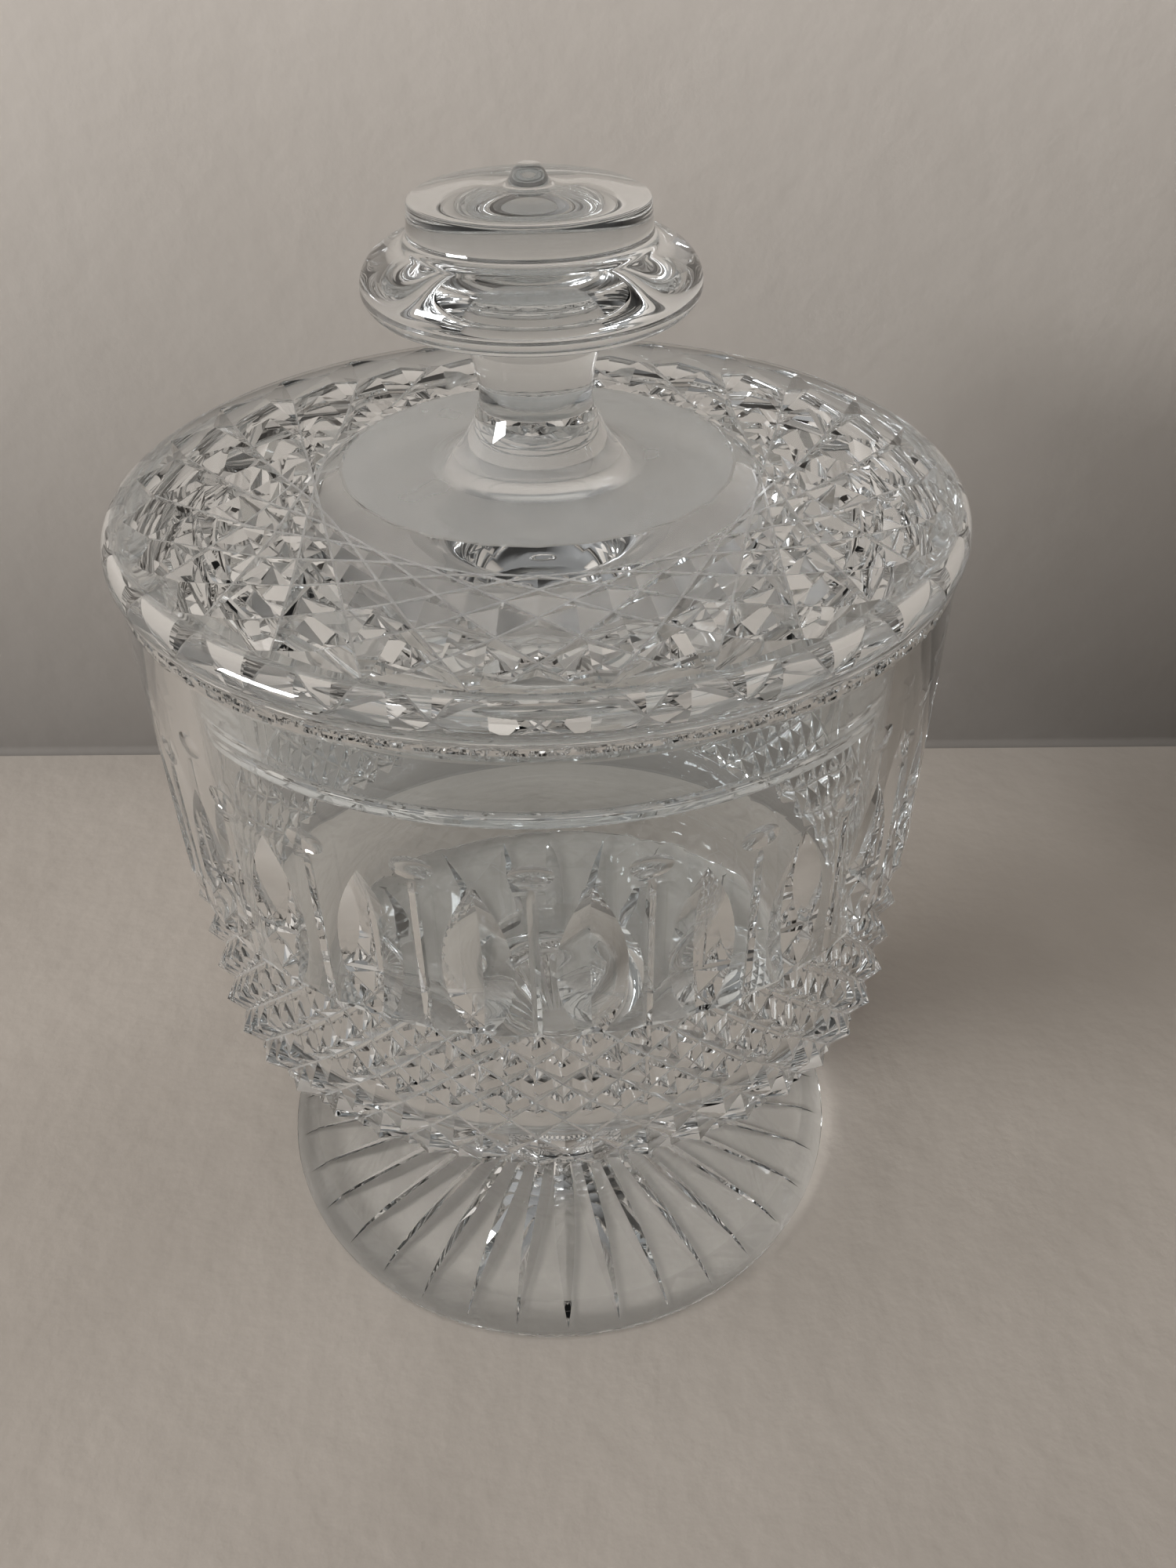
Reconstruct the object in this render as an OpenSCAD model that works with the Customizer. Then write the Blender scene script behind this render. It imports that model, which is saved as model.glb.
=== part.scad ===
// Covered candy box in clear cut crystal: a footed bowl and a loose lid with a knob.
// The box's axis is Z and the table is at z = 0. All sizes are in millimetres.

/* [Foot] */
// Radius of the foot
foot_r = 53.6; // [46:0.2:62]
// Height of the foot up to its join with the stem
foot_h = 10; // [8:0.5:16]
// Thickness of the foot's flat part
foot_plate = 5; // [4:0.25:7]
// Width of the sloping band round the foot's edge
foot_bevel = 4.4; // [2:0.2:8]
// Height of the foot's edge where the sloping band ends
foot_edge = 1.6; // [0.8:0.1:3]
// Rounding of the foot's lower edge
foot_round = 0.6; // [0.3:0.1:1]
// Width of the foot's flat ring inside the sloping band
foot_flat = 18; // [12:0.5:22]
// Number of rays cut under the foot
ray_count = 36; // [20:1:44]
// Widest width of a ray
ray_w = 3.8; // [2:0.1:4]
// Depth of a ray
ray_d = 1.2; // [0.6:0.1:2]
// Plain radius left in the middle of the rays
ray_in = 4.5; // [3:0.5:10]
// Plain margin between the rays and the foot's edge
ray_margin = 2.2; // [1:0.2:6]
// Turn of the rays against the bowl's line cuts
ray_turn = 2.5; // [0:0.5:10]

/* [Stem] */
// Height of the stem
stem_h = 20; // [12:0.5:40]
// Radius of the stem at its waist
stem_waist = 10.5; // [8:0.25:12]
// Height of the waist above the foot
stem_waist_h = 9; // [5:0.5:11]
// Radius of the join between the foot and the stem
stem_foot_r = 15; // [13:0.5:20]
// Radius of the join between the stem and the bowl
stem_bowl_r = 17; // [13:0.5:24]

/* [Bowl] */
// Outer radius of the bowl's wall
bowl_r = 59; // [54:0.5:70]
// Thickness of the bowl's wall
bowl_wall = 6; // [4.5:0.25:8]
// Thickness of the glass under the hollow
bowl_base = 20; // [12:0.5:24]
// Radius of the curve inside the bottom of the hollow
bowl_corner = 14; // [6:0.5:24]
// Height from the stem to the lower edge of the wall
knee_h = 27.4; // [22:0.2:36]
// Height of the diamond band, from that edge to the ring line
band_h = 27.4; // [20:0.2:29]
// Height of the lancet panel above the ring line
panel_h = 26.2; // [18:0.2:28]
// Height of the wall from its lower edge to the rim
wall_h = 73.1; // [71:0.5:100]
// Rounding of the rim
rim_round = 1.2; // [0.4:0.1:2]

/* [Cuts on the bowl] */
// Number of lancets round the bowl, and of line cuts between them
lancet_count = 26; // [16:1:28]
// Widest width of a lancet
lancet_w = 9.1; // [5:0.1:10]
// Depth of a lancet at its middle
lancet_d = 2.6; // [1:0.1:3]
// How far a lancet's lower tip runs past the ring line
lancet_run = 1.8; // [0.6:0.2:4]
// Width of a line cut
line_w = 1.3; // [0.5:0.1:2]
// Depth of a line cut
line_d = 0.45; // [0.2:0.05:0.8]
// Width of a pearl cut
pearl_w = 5.6; // [3:0.1:7]
// Height of a pearl cut
pearl_h = 3.6; // [2:0.1:3.8]
// Depth of a pearl cut
pearl_d = 0.6; // [0.3:0.05:0.8]
// Height of a pearl's middle above the lancet tips
pearl_lift = 2.1; // [2:0.1:10]
// Width of the ring line under the lancets
ring_w = 1; // [0.6:0.1:2]
// Depth of the ring line
ring_d = 0.5; // [0.2:0.05:1]
// Number of diamonds round the bowl
diamond_count = 46; // [30:1:60]
// Half rows of diamonds in the band
diamond_rows = 7; // [4:1:10]
// Turn of the diamonds against the line cuts
diamond_turn = -1; // [-4:0.5:4]
// Depth of the grooves between the diamonds
diamond_d = 2.2; // [1:0.1:2.8]

/* [Lid] */
// Outer radius of the lid
lid_r = 60; // [55:0.5:72]
// Thickness of the lid from its underside to the floor of the cuts
lid_floor = 3.6; // [3:0.1:6]
// Gap between the lid and the bowl's rim
seat_gap = 0.1; // [0.05:0.05:0.4]
// Depth of the flange that goes into the bowl
flange_h = 14; // [8:0.5:18]
// Thickness of the flange
flange_wall = 5; // [3:0.25:8]
// Gap between the flange and the bowl's wall
flange_gap = 0.6; // [0.4:0.1:1.2]
// Radius of the plain disc in the middle of the lid
disc_r = 27.4; // [20:0.2:29]
// Height of the plain disc above the floor of the cuts
disc_h = 4.9; // [3.5:0.1:8]

/* [Cuts on the lid] */
// Number of straight grooves that touch the circle round the disc
chord_count = 26; // [16:1:30]
// Grooves from one side of an outer point to the other
chord_span = 8; // [5:1:9]
// Gap between the disc and the circle that the grooves touch
chord_gap = 3.5; // [2:0.1:6]
// Depth of the grooves
chord_d = 2.6; // [1:0.1:3]
// Half width of a groove for each millimetre of its depth
chord_spread = 1.67; // [1:0.01:2.5]
// Width of the ring in which the grooves climb towards the disc
chord_run = 13; // [8:0.5:20]
// Length of a groove's run-out for each millimetre of its depth
chord_exit = 0.8; // [0.5:0.1:1]
// Turn of the lid's cuts against the bowl's line cuts
lid_turn = 8.4; // [0:0.1:14]

/* [Neck] */
// Height of the neck between the lid and the knob
neck_h = 16; // [12:0.5:30]
// Radius of the neck at its narrowest
neck_waist = 7.7; // [6:0.1:8.5]
// Radius of the neck's flared base
neck_base_r = 14; // [10:0.5:19]
// Radius of the neck's top
neck_top_r = 9; // [8.6:0.1:12]
// Height of the neck's narrowest place above the lid
neck_waist_h = 9; // [6:0.5:11]

/* [Knob] */
// Radius of the knob's ring
collar_r = 22.2; // [18:0.2:30]
// Radius of the ring's round section
collar_round = 6; // [4:0.25:7]
// Height of the ring's middle above the neck
collar_lift = 7.8; // [7.2:0.1:10]
// Radius of the drum
drum_r = 15.8; // [12:0.2:17.5]
// Height of the drum above the ring's middle
drum_h = 11.7; // [9:0.1:20]
// Rounding of the drum's top edge
drum_round = 1; // [0.6:0.1:2.5]
// Taper of the drum's side
drum_taper = 0.5; // [0:0.1:2]
// Radius of the pip on the drum
pip_r = 2.3; // [1.2:0.1:4]
// Height of the pip
pip_h = 2.2; // [1:0.1:4]
// Rounding of the pip's edge
pip_round = 0.6; // [0.3:0.1:0.9]
// Width of the dip round the pip
dip_w = 1.5; // [0.5:0.1:3]
// Depth of the dip round the pip
dip_d = 0.3; // [0.1:0.1:0.6]

/* [Hidden] */
$fn = 96;
// How far a cutting wheel, and the cutter of the lid, stand out of the glass
proud = 0.05;
head = 1;
// Direction of the front, where each row of cuts starts
front = -90;
// Bend of the bowl's underside and of the neck's flare, as powers
under_bend = 1.25;
neck_flare = 2.6;

// Heights of the joins and of the bowl's bands
bowl_z = foot_h + stem_h;
knee_z = bowl_z + knee_h;
ring_z = knee_z + band_h;
tip_z = ring_z + panel_h;
rim_z = knee_z + wall_h;
hollow_r = bowl_r - bowl_wall;
hollow_z = bowl_z + bowl_base;

// The diamonds' half row pitch, with the last half row on the wall's lower edge
row_pitch = band_h / diamond_rows;
columns = 2 * diamond_count;
// The diamonds' tips lie just under the wall's surface, so that every tip is a point
tip_skin = 0.05;

// Heights and radii on the lid
lid_z = rim_z + seat_gap;
floor_z = lid_z + lid_floor;
land_z = floor_z + chord_d;
disc_z = floor_z + disc_h;
touch_r = disc_r + chord_gap;
// The grooves climb until their inner flanks end at the disc's edge
climb = disc_h - chord_gap / chord_spread;
flange_r = hollow_r - flange_gap;

neck_z = disc_z;
knob_z = neck_z + neck_h;
collar_z = knob_z + collar_lift;

// Points on an ellipse's arc
function arc(c, a, b, from, to, n) =
    [for (i = [0:n]) let (t = from + (to - from) * i / n) [c[0] + a * cos(t), c[1] + b * sin(t)]];

// Radius of a wheel whose cut has this half length and depth on a straight wall
function wheel_r(half, depth) = (half * half + depth * depth) / (2 * depth);

// Working arc of a V-edged cutting wheel: its axis is Y, it cuts towards +X at the origin
module mitre_wheel(half, depth, spread) {
    r = wheel_r(half, depth);
    reach = depth + proud;
    sweep = 2 * asin(half / r) + 1;
    translate([depth - r, 0, 0]) rotate([90, 0, 0]) rotate(-sweep / 2)
        rotate_extrude(angle = sweep, $fn = 180)
            polygon([[r - reach, -reach * spread], [r, 0], [r - reach, reach * spread]]);
}

// One ray: a wheel's cut into the foot's underside, kept to the glass
module ray() {
    half = (foot_r - ray_margin - ray_in) / 2;
    translate([ray_in + half, 0, 0]) intersection() {
        rotate([0, -90, 0]) mitre_wheel(half, ray_d, ray_w / (2 * ray_d));
        translate([-half - proud, -ray_w, -proud]) cube([2 * (half + proud), 2 * ray_w, ray_d + 2 * proud]);
    }
}

module foot() {
    flat_r = foot_r - foot_bevel;
    sweep_r = flat_r - foot_flat;
    color("gainsboro") difference() {
        rotate_extrude() polygon(concat(
            [[0, 0]],
            arc([foot_r - foot_round, foot_edge], foot_round, foot_edge, -90, 0, 6),
            [[flat_r, foot_plate]],
            [for (i = [0:12]) let (t = i / 12)
                [sweep_r + (stem_foot_r - sweep_r) * t, foot_plate + (foot_h - foot_plate) * pow(t, 2)]],
            [[0, foot_h]]));
        for (i = [0:ray_count - 1]) rotate(front + ray_turn + i * 360 / ray_count) ray();
    }
}

module stem() {
    color("silver") rotate_extrude() polygon(concat(
        [[0, foot_h]],
        [for (i = [0:10]) let (u = 1 - i / 10)
            [stem_waist + (stem_foot_r - stem_waist) * pow(u, 2), foot_h + stem_waist_h * (1 - u)]],
        [for (i = [1:12]) let (u = i / 12)
            [stem_waist + (stem_bowl_r - stem_waist) * pow(u, 2),
             foot_h + stem_waist_h + (stem_h - stem_waist_h) * u]],
        [[0, bowl_z]]));
}

// Plain bowl before it is cut
module bowl_blank() {
    rotate_extrude($fn = 180) polygon(concat(
        [[0, bowl_z]],
        [for (i = [0:16]) let (t = i / 16)
            [stem_bowl_r + (bowl_r - stem_bowl_r) * t, bowl_z + knee_h * pow(t, under_bend)]],
        arc([bowl_r - rim_round, rim_z - rim_round], rim_round, rim_round, 0, 90, 6),
        arc([hollow_r + rim_round, rim_z - rim_round], rim_round, rim_round, 90, 180, 6),
        arc([hollow_r - bowl_corner, hollow_z + bowl_corner], bowl_corner, bowl_corner, 0, -90, 10),
        [[0, hollow_z]]));
}

// Ring round the wall whose inner side is the field of diamonds: four-sided points between
// grooves that cross, so points and crossings take turns along each half row
module diamond_ring() {
    rows = diamond_rows + 1;
    outer = bowl_r + 2 * diamond_d;
    step = 360 / columns;
    function at(k, j) = j * columns + k % columns;
    function on(r, k, j) = let (a = front + diamond_turn + k * step)
        [r * cos(a), r * sin(a), ring_z - j * row_pitch];
    relief = [for (j = [0:rows], k = [0:columns - 1])
        on((k + j) % 2 == 0 ? bowl_r - diamond_d : bowl_r - tip_skin, k, j)];
    shell = [for (j = [0, rows], k = [0:columns - 1]) on(outer, k + 0.5, j)];
    base = (rows + 1) * columns;
    faces = concat(
        [for (j = [0:rows - 1], k = [0:columns - 1]) (k + j) % 2 == 0
            ? [at(k, j), at(k + 1, j + 1), at(k + 1, j)] : [at(k, j), at(k, j + 1), at(k + 1, j)]],
        [for (j = [0:rows - 1], k = [0:columns - 1]) (k + j) % 2 == 0
            ? [at(k, j), at(k, j + 1), at(k + 1, j + 1)] : [at(k + 1, j), at(k, j + 1), at(k + 1, j + 1)]],
        [for (k = [0:columns - 1])
            [base + at(k, 0), base + at(k + 1, 0), base + at(k + 1, 1), base + at(k, 1)]],
        [for (k = [0:columns - 1]) [at(k, 0), at(k + 1, 0), base + at(k, 0)]],
        [for (k = [0:columns - 1]) [at(k + 1, 0), base + at(k + 1, 0), base + at(k, 0)]],
        [for (k = [0:columns - 1]) [at(k, rows), base + at(k, 1), at(k + 1, rows)]],
        [for (k = [0:columns - 1]) [at(k + 1, rows), base + at(k, 1), base + at(k + 1, 1)]]);
    polyhedron(points = concat(relief, shell), faces = faces, convexity = 8);
}

module bowl() {
    half = (panel_h + lancet_run) / 2;
    spread = lancet_w / 2 / (lancet_d - pow(lancet_w / 2, 2) / (2 * bowl_r));
    pearl_edge = wheel_r(pearl_h / 2, pearl_d);
    pearl = 1 / (2 * pearl_d / pow(pearl_w / 2, 2) - 1 / bowl_r);
    step = 360 / lancet_count;
    color("lightsteelblue") difference() {
        difference() {
            bowl_blank();
            for (i = [0:lancet_count - 1])
                rotate(front + (i + 0.5) * step)
                    translate([bowl_r, 0, tip_z - half])
                        rotate(180) mitre_wheel(half, lancet_d, spread);
            for (i = [0:lancet_count - 1])
                rotate(front + i * step) translate([bowl_r + pearl - pearl_d, 0, tip_z + pearl_lift])
                    rotate_extrude() translate([pearl - pearl_edge, 0]) circle(pearl_edge);
            for (i = [0:lancet_count - 1])
                rotate(front + i * step) translate([bowl_r, 0, ring_z - ring_w / 2])
                    linear_extrude(panel_h + ring_w / 2)
                        polygon([[-line_d, 0], [line_d, -line_w], [line_d, line_w]]);
        }
        rotate_extrude($fn = 180)
            polygon([[bowl_r - ring_d, ring_z], [bowl_r + ring_d, ring_z - ring_w],
                     [bowl_r + ring_d, ring_z + ring_w]]);
        diamond_ring();
    }
}

// Ring whose underside is the field of cuts on the lid. Straight V grooves that all touch one
// circle cross at node(m, a), and each cell between four of them is a point over its own incircle
module lid_cuts() {
    n = chord_count;
    step = 360 / n;
    high = chord_d + head;
    steep = chord_gap / chord_spread + head;
    function floor_at(r) = floor_z + climb * pow(max(0, 1 - (r - touch_r) / chord_run), 2);
    function at(r, a, z) = [r * cos(a), r * sin(a), z];
    function node_r(m) = touch_r / cos(m * step / 2);
    function turn(m, i) = front + lid_turn + (i + (m % 2) / 2) * step;
    function ring(m, i) = m * n + (i + n) % n;
    function peak(m, i) = (chord_span + 1 + m) * n + (i + n) % n;
    cell_r = [for (m = [0:chord_span - 2]) 2 * touch_r / (cos(m * step / 2) + cos((m + 2) * step / 2))];
    crossings = [for (m = [0:chord_span], i = [0:n - 1]) at(node_r(m), turn(m, i), floor_at(node_r(m)))];
    peaks = [for (m = [0:chord_span - 2], i = [0:n - 1])
        at(cell_r[m], turn(m, i),
           floor_at(cell_r[m]) + (cell_r[m] * cos(m * step / 2) - touch_r) / chord_spread)];
    // Upper edges: inside the disc, on the ridges between the outer points, and past those points
    inner = [for (i = [0:n - 1])
        at((touch_r - steep * chord_spread) / cos(step / 2), turn(1, i), floor_z + climb + steep)];
    ridges = [for (i = [0:n - 1]) at((touch_r + high * chord_spread) / cos((chord_span - 1) * step / 2),
                                     turn(chord_span - 1, i), floor_z + high)];
    ends = [for (i = [0:n - 1])
        at(node_r(chord_span) + high * chord_exit, turn(chord_span, i), floor_z + high)];
    in0 = 2 * chord_span * n;
    ridge0 = in0 + n;
    end0 = ridge0 + n;
    function wrap(i) = (i + n) % n;
    // Index of the crossing half a step before and after index i of ring m
    function before(m, i) = m % 2 == 0 ? i - 1 : i;
    function after(m, i) = m % 2 == 0 ? i : i + 1;
    cells = [for (m = [0:chord_span - 2], i = [0:n - 1], side = [0:3]) let (
            low = ring(m, i), high = ring(m + 2, i),
            left = ring(m + 1, before(m, i)), right = ring(m + 1, after(m, i)), tip = peak(m, i))
        side == 0 ? [tip, low, left] : side == 1 ? [tip, left, high]
            : side == 2 ? [tip, high, right] : [tip, right, low]];
    last = chord_span - 1;
    rims = [for (i = [0:n - 1], side = [0:3]) let (
            low = ring(last, i), ridge = ridge0 + i,
            left = ring(last + 1, before(last, i)), right = ring(last + 1, after(last, i)))
        side == 0 ? [ridge, low, left] : side == 1 ? [ridge, right, low]
            : side == 2 ? [ridge, left, end0 + wrap(before(last, i))]
            : [ridge, end0 + wrap(after(last, i)), right]];
    flanks = [for (i = [0:n - 1], side = [0:2])
        side == 0 ? [ring(0, i), ring(1, i), in0 + i]
            : side == 1 ? [ring(0, i), in0 + i, in0 + wrap(i - 1)]
            : [ring(0, i), in0 + wrap(i - 1), ring(1, i - 1)]];
    half0 = last % 2 == 1 ? ridge0 : end0;
    whole0 = last % 2 == 1 ? end0 : ridge0;
    cover = [for (i = [0:n - 1], side = [0:2])
        side == 0 ? [in0 + wrap(i - 1), in0 + i, whole0 + i]
            : side == 1 ? [in0 + i, half0 + i, whole0 + i]
            : [in0 + wrap(i - 1), whole0 + i, half0 + wrap(i - 1)]];
    polyhedron(points = concat(crossings, peaks, inner, ridges, ends),
               faces = concat(cells, rims, flanks, cover), convexity = 8);
}

module lid() {
    edge = (land_z - lid_z) / 2;
    color("whitesmoke") difference() {
        rotate_extrude($fn = 180) polygon(concat(
            [[0, lid_z], [flange_r - flange_wall, lid_z], [flange_r - flange_wall, lid_z - flange_h],
             [flange_r, lid_z - flange_h], [flange_r, lid_z]],
            arc([lid_r - edge, lid_z + edge], edge, edge, -90, 90, 16),
            [[touch_r + chord_run, land_z], [touch_r, disc_z], [0, disc_z]]));
        lid_cuts();
    }
}

module neck() {
    color("silver") rotate_extrude() polygon(concat(
        [[0, neck_z]],
        [for (i = [0:12]) let (u = 1 - i / 12)
            [neck_waist + (neck_base_r - neck_waist) * pow(u, neck_flare),
             neck_z + neck_waist_h * (1 - u)]],
        [for (i = [1:6]) let (u = i / 6)
            [neck_waist + (neck_top_r - neck_waist) * pow(u, 2),
             neck_z + neck_waist_h + (neck_h - neck_waist_h) * u]],
        [[0, knob_z]]));
}

module knob() {
    ring = collar_r - collar_round;
    top = collar_z + drum_h;
    color("gainsboro") rotate_extrude() {
        polygon([[0, knob_z], [neck_top_r, knob_z], [ring, collar_z - collar_round / 2],
                 [ring, collar_z], [0, collar_z]]);
        translate([ring, collar_z]) circle(collar_round);
        polygon(concat(
            [[0, collar_z], [drum_r, collar_z]],
            arc([drum_r - drum_taper - drum_round, top - drum_round], drum_round, drum_round, 0, 90, 6),
            [[pip_r + dip_w, top - dip_d], [pip_r, top]],
            arc([pip_r - pip_round, top + pip_h - pip_round], pip_round, pip_round, 0, 90, 4),
            [[0, top + pip_h]]));
    }
}

foot();
stem();
bowl();
lid();
neck();
knob();
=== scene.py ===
import math
from types import SimpleNamespace

import bmesh
import bpy
import numpy as np
from mathutils import Matrix, Vector


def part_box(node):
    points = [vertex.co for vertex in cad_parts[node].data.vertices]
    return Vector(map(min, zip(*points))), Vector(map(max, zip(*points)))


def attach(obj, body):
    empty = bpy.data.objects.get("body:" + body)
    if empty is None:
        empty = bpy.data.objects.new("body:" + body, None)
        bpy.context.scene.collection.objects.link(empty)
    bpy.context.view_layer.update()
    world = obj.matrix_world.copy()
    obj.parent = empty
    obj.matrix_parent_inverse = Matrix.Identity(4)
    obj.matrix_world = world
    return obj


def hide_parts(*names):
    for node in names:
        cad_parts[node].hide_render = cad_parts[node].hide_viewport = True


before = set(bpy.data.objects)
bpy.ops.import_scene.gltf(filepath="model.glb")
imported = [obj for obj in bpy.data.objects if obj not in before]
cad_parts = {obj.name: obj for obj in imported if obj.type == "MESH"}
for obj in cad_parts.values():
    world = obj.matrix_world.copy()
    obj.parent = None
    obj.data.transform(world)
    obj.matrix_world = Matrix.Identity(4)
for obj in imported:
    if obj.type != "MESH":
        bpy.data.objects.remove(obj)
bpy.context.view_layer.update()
mm = 0.001  # pieces are worked out in millimetres and put into the mesh in metres
nearGap = 0.06  # distance of a support point from the rounding beside it
weldGap = 0.002  # points nearer than this are one
halvings = 40  # steps of a search by halving
polished, joined, ground = range(3)  # material slots of every piece


def nodeSpan(node):
    # lowest and highest z of a CAD node
    low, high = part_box(node)
    return low.z / mm, high.z / mm


def arcPoints(centreR, centreZ, radius, start, end, steps, tall=None):
    # points of an ellipse's arc in the (r, z) plane, angles in degrees
    t = np.radians(np.linspace(start, end, steps + 1))
    return np.stack([centreR + radius * np.cos(t), centreZ + (tall or radius) * np.sin(t)], axis=-1)


def roundTable(columns, turn=0.0):
    # evenly spaced angles round the axis
    return np.radians(turn) + np.arange(columns) * 2 * np.pi / columns


def turned(profile, angles):
    # each profile point (r, z) goes round the axis: x = r cos a, y = r sin a
    profile = np.asarray(profile, float)
    r, z = profile[:, :1], profile[:, 1:]
    return np.stack([r * np.cos(angles), r * np.sin(angles), z + 0 * angles], axis=-1)


def steadied(profile, longRun=3.0, gap=nearGap):
    # long straight runs get a point near each end, so that the shading bends only in the roundings
    start, end = profile[:-1], profile[1:]
    run = np.hypot(*(end - start).T)[:, None]
    near = gap * (end - start) / np.maximum(run, gap)
    points = np.stack([start, start + near, end - near], axis=1).reshape(-1, 2)
    keep = np.concatenate([run > 0, run > longRun, run > longRun], axis=1).ravel()
    return np.concatenate([points[keep], profile[-1:]])


class Shell:
    # the grids and facets of one closed piece of glass

    def __init__(self):
        self.points, self.faces, self.count = [], [], 0

    def put(self, xyz):
        # stores a grid of points and gives back their numbers
        index = np.arange(self.count, self.count + xyz[..., 0].size).reshape(xyz.shape[:-1])
        self.points.append(xyz.reshape(-1, 3))
        self.count += index.size
        return index

    def fill(self, corners, slot=polished):
        # facets whose corners run anticlockwise seen from outside
        corners = np.asarray(corners)
        self.faces.append((corners.reshape(-1, corners.shape[-1]), slot))

    def zip(self, lower, upper):
        # triangles between two rings that close round the axis and have their own number of points
        points = np.concatenate(self.points)
        rings = []
        for ring in (lower, upper):
            angle = np.arctan2(points[ring, 1], points[ring, 0])
            order = np.argsort(angle, kind="stable")
            rings.append((ring[order], angle[order]))
        (low, lowAngle), (high, highAngle) = rings
        behind = np.searchsorted(highAngle, np.roll(lowAngle, -1), "left") - 1
        self.fill(np.stack([low, np.roll(low, -1), high[behind]], axis=-1))
        behind = np.searchsorted(lowAngle, np.roll(highAngle, -1), "right") - 1
        self.fill(np.stack([high, low[behind], np.roll(high, -1)], axis=-1))

    def skin(self, index, slot=polished):
        # quads between neighbouring rows of a grid that closes round its columns
        after = np.roll(index, -1, axis=1)
        self.fill(np.stack([index[:-1], after[:-1], after[1:], index[1:]], axis=-1), slot)


def makePiece(name, shell, body, node, crease=14):
    # all grids and facets go into one mesh, which is smooth up to the crease angle and rides on its body
    mesh = bpy.data.meshes.new(name)
    corners, slots = zip(*shell.faces)
    sizes = np.concatenate([np.full(len(part), part.shape[1]) for part in corners])
    used, loops = np.unique(np.concatenate([part.ravel() for part in corners]), return_inverse=True)
    points = np.concatenate(shell.points)[used] * mm
    mesh.vertices.add(len(points))
    mesh.vertices.foreach_set("co", points.ravel())
    mesh.loops.add(len(loops))
    mesh.loops.foreach_set("vertex_index", loops)
    mesh.polygons.add(len(sizes))
    mesh.polygons.foreach_set("loop_start", np.concatenate([[0], np.cumsum(sizes)[:-1]]))
    mesh.polygons.foreach_set("material_index", np.repeat(slots, [len(part) for part in corners]))
    mesh.update(calc_edges=True)

    work = bmesh.new()  # welds the grids to each other and closes the poles
    work.from_mesh(mesh)
    bmesh.ops.remove_doubles(work, verts=work.verts, dist=weldGap * mm)
    openEdges = sum(not e.is_manifold for e in work.edges)
    volume = work.calc_volume(signed=True) / mm ** 3
    work.to_mesh(mesh)
    work.free()
    mesh.polygons.foreach_set("use_smooth", np.ones(len(mesh.polygons), bool))
    mesh.set_sharp_from_angle(angle=math.radians(crease))

    piece = bpy.data.objects.new(name, mesh)
    bpy.context.scene.collection.objects.link(piece)
    for material in (crystal, fusedJoint, satin):
        mesh.materials.append(material)
    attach(piece, body)
    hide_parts(node)
    print(f"{name}: {len(mesh.polygons)} faces, {openEdges} open edges, {volume / 1000:.1f} cm3")
    return piece


photoView = dict(focal=1600, photoHeight=2000, away=167.2, height=210.4, pitch=37.79, yaw=2.22, roll=-0.64,
                 turn=2.5)


def addCamera():
    # the photograph's camera: yaw turns the way ahead, pitch tips it down, roll turns the picture, and the
    # turn takes all of it round the axis
    view = SimpleNamespace(**photoView)
    pitch, yaw, roll = math.radians(view.pitch), math.radians(view.yaw), math.radians(view.roll)
    ahead = Vector((math.sin(yaw) * math.cos(pitch), math.cos(yaw) * math.cos(pitch), -math.sin(pitch)))
    right = Vector((math.cos(yaw), -math.sin(yaw), 0))
    up = right.cross(ahead)
    tiltedRight = math.cos(roll) * right + math.sin(roll) * up
    tiltedUp = math.cos(roll) * up - math.sin(roll) * right
    place = Matrix((tiltedRight, tiltedUp, -ahead)).transposed().to_4x4()
    place.translation = Vector((0, -view.away, view.height)) * mm
    data = bpy.data.cameras.new("photoCamera")
    data.sensor_width = 36
    data.lens = data.sensor_width * view.focal / view.photoHeight
    data.clip_start = 0.01
    camera = bpy.data.objects.new("photoCamera", data)
    camera.matrix_world = Matrix.Rotation(math.radians(view.turn), 4, "Z") @ place
    bpy.context.scene.collection.objects.link(camera)
    bpy.context.scene.camera = camera


addCamera()
print("camera placed")


glassLook = dict(tint=(0.942, 0.968, 0.98), ior=1.545, clear=1.0, smooth=0.0, hazy=0.02, hazeFrom=0.45,
                 hazeTo=0.75, hazeScale=60, hazeDetail=3, waveScale=220, waveDetail=1, waveHeight=0.00002,
                 waveStrength=0.1)
satinLook = dict(glassLook, clear=0.92, smooth=0.22, hazy=0.34, satinFrom=12, satinTo=15, satinLeast=0.1)


def addNode(nodes, kind, values=None, operation=None):
    # a shader node with its operation and the values of its sockets
    node = nodes.new(kind)
    if operation:
        node.operation = operation
    for socket, value in (values or {}).items():
        node.inputs[socket].default_value = value
    return node


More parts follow.
